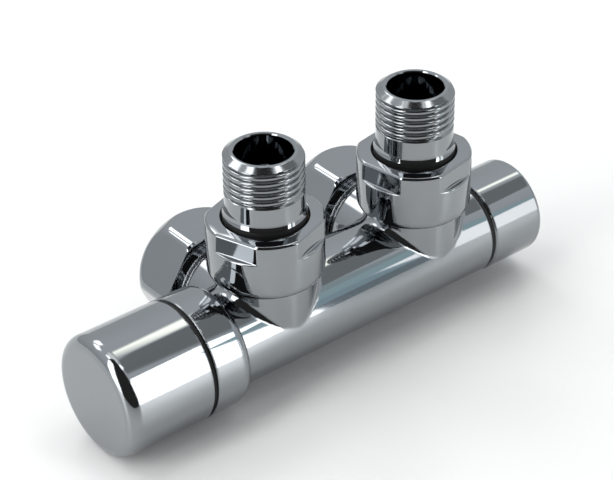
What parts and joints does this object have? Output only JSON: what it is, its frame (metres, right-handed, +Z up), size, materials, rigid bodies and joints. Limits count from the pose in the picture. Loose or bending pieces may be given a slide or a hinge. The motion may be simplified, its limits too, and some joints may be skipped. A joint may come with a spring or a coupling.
{
  "type": "radiator valve multiblock",
  "caption": "Straight radiator connection block: two threaded union tails up, compression ports to the rear, a regulating cap at one end and a lockshield cap at the other.",
  "frame": {"origin": "midway between the two radiator tails, on the plane where their threads run out", "axes": "+Z up along the tails, +X along the tube towards the lockshield cap, +Y towards the wall pipes"},
  "size_m": [0.1404, 0.0558, 0.0673],
  "materials": {
    "chrome": "polished",
    "brass": "machined",
    "steel": "turned",
    "seal_rubber": "matte",
    "black_ring": "matte",
    "gasket_fibre": "pressed fibre"
  },
  "bodies": {
    "root": {"valve_body": "chrome", "left_insert": "brass", "left_insert_seal": "seal_rubber", "left_gland": "brass", "left_gland_seal": "seal_rubber", "left_seam_ring": "black_ring", "right_insert": "brass", "right_insert_seal": "seal_rubber", "left_tail": "chrome", "left_tail_ring": "black_ring", "left_tail_gasket": "gasket_fibre", "left_cone_seal": "seal_rubber", "right_tail": "chrome", "right_tail_ring": "black_ring", "right_tail_gasket": "gasket_fibre", "right_cone_seal": "seal_rubber"},
    "left_spindle_group": {"left_spindle": "steel", "left_spring": "steel", "left_spring_plate": "steel", "left_spring_clip": "steel", "left_disc": "brass", "left_disc_seal": "seal_rubber"},
    "left_cap_body": {"left_cap": "chrome"},
    "right_plug_travel": {"right_plug_seal": "seal_rubber"},
    "right_plug_body": {"right_plug": "brass"},
    "right_cap_travel": {"right_cap_ring": "black_ring"},
    "right_cap_body": {"right_cap": "chrome"},
    "left_union_travel": {"left_union_washer": "brass"},
    "left_union_body": {"left_union_nut": "chrome"},
    "right_union_travel": {"right_union_washer": "brass"},
    "right_union_body": {"right_union_nut": "chrome"},
    "left_rear_travel": {"left_clamp_ring": "brass"},
    "left_rear_body": {"left_rear_nut": "chrome"},
    "right_rear_travel": {"right_clamp_ring": "brass"},
    "right_rear_body": {"right_rear_nut": "chrome"}
  },
  "joints": [
    {"name": "left_cap_travel", "type": "slide", "parent": "root", "child": "left_spindle_group", "axis": [-1, 0, 0], "range_m": [0, 0.003], "deforming": ["left_spring"]},
    {"name": "left_cap_turn", "type": "hinge", "parent": "left_spindle_group", "child": "left_cap_body", "pos_m": [-0.0664, 0, -0.0394], "axis": [-1, 0, 0], "range_deg": [0, 720]},
    {"name": "right_plug_travel", "type": "slide", "parent": "root", "child": "right_plug_travel", "axis": [1, 0, 0], "range_m": [0, 0.003]},
    {"name": "right_plug_turn", "type": "hinge", "parent": "right_plug_travel", "child": "right_plug_body", "pos_m": [0.038, 0, -0.0394], "axis": [1, 0, 0], "range_deg": [0, 1080]},
    {"name": "right_cap_travel", "type": "slide", "parent": "root", "child": "right_cap_travel", "axis": [1, 0, 0], "range_m": [0, 0.0045]},
    {"name": "right_cap_turn", "type": "hinge", "parent": "right_cap_travel", "child": "right_cap_body", "pos_m": [0.0525, 0, -0.0394], "axis": [1, 0, 0], "range_deg": [0, 1080]},
    {"name": "left_union_travel", "type": "slide", "parent": "root", "child": "left_union_travel", "axis": [0, 0, 1], "range_m": [0, 0.006]},
    {"name": "left_union_turn", "type": "hinge", "parent": "left_union_travel", "child": "left_union_body", "pos_m": [-0.025, 0, -0.0156], "axis": [0, 0, 1], "range_deg": [0, 1440]},
    {"name": "right_union_travel", "type": "slide", "parent": "root", "child": "right_union_travel", "axis": [0, 0, 1], "range_m": [0, 0.006]},
    {"name": "right_union_turn", "type": "hinge", "parent": "right_union_travel", "child": "right_union_body", "pos_m": [0.025, 0, -0.0156], "axis": [0, 0, 1], "range_deg": [0, 1440]},
    {"name": "left_rear_travel", "type": "slide", "parent": "root", "child": "left_rear_travel", "axis": [0, 1, 0], "range_m": [0, 0.00544]},
    {"name": "left_rear_turn", "type": "hinge", "parent": "left_rear_travel", "child": "left_rear_body", "pos_m": [-0.025, 0.0304, -0.0394], "axis": [0, 1, 0], "range_deg": [0, 1080]},
    {"name": "right_rear_travel", "type": "slide", "parent": "root", "child": "right_rear_travel", "axis": [0, 1, 0], "range_m": [0, 0.00544]},
    {"name": "right_rear_turn", "type": "hinge", "parent": "right_rear_travel", "child": "right_rear_body", "pos_m": [0.025, 0.0304, -0.0394], "axis": [0, 1, 0], "range_deg": [0, 1080]}
  ],
  "couplings": [
    {"joint": "left_cap_travel", "follows": "left_cap_turn", "m_per_rad": 0.00023873},
    {"joint": "right_plug_travel", "follows": "right_plug_turn", "m_per_rad": 0.00015915},
    {"joint": "right_cap_travel", "follows": "right_cap_turn", "m_per_rad": 0.00023873},
    {"joint": "left_union_travel", "follows": "left_union_turn", "m_per_rad": 0.00023873},
    {"joint": "right_union_travel", "follows": "right_union_turn", "m_per_rad": 0.00023873},
    {"joint": "left_rear_travel", "follows": "left_rear_turn", "m_per_rad": 0.00028871},
    {"joint": "right_rear_travel", "follows": "right_rear_turn", "m_per_rad": 0.00028871}
  ]
}
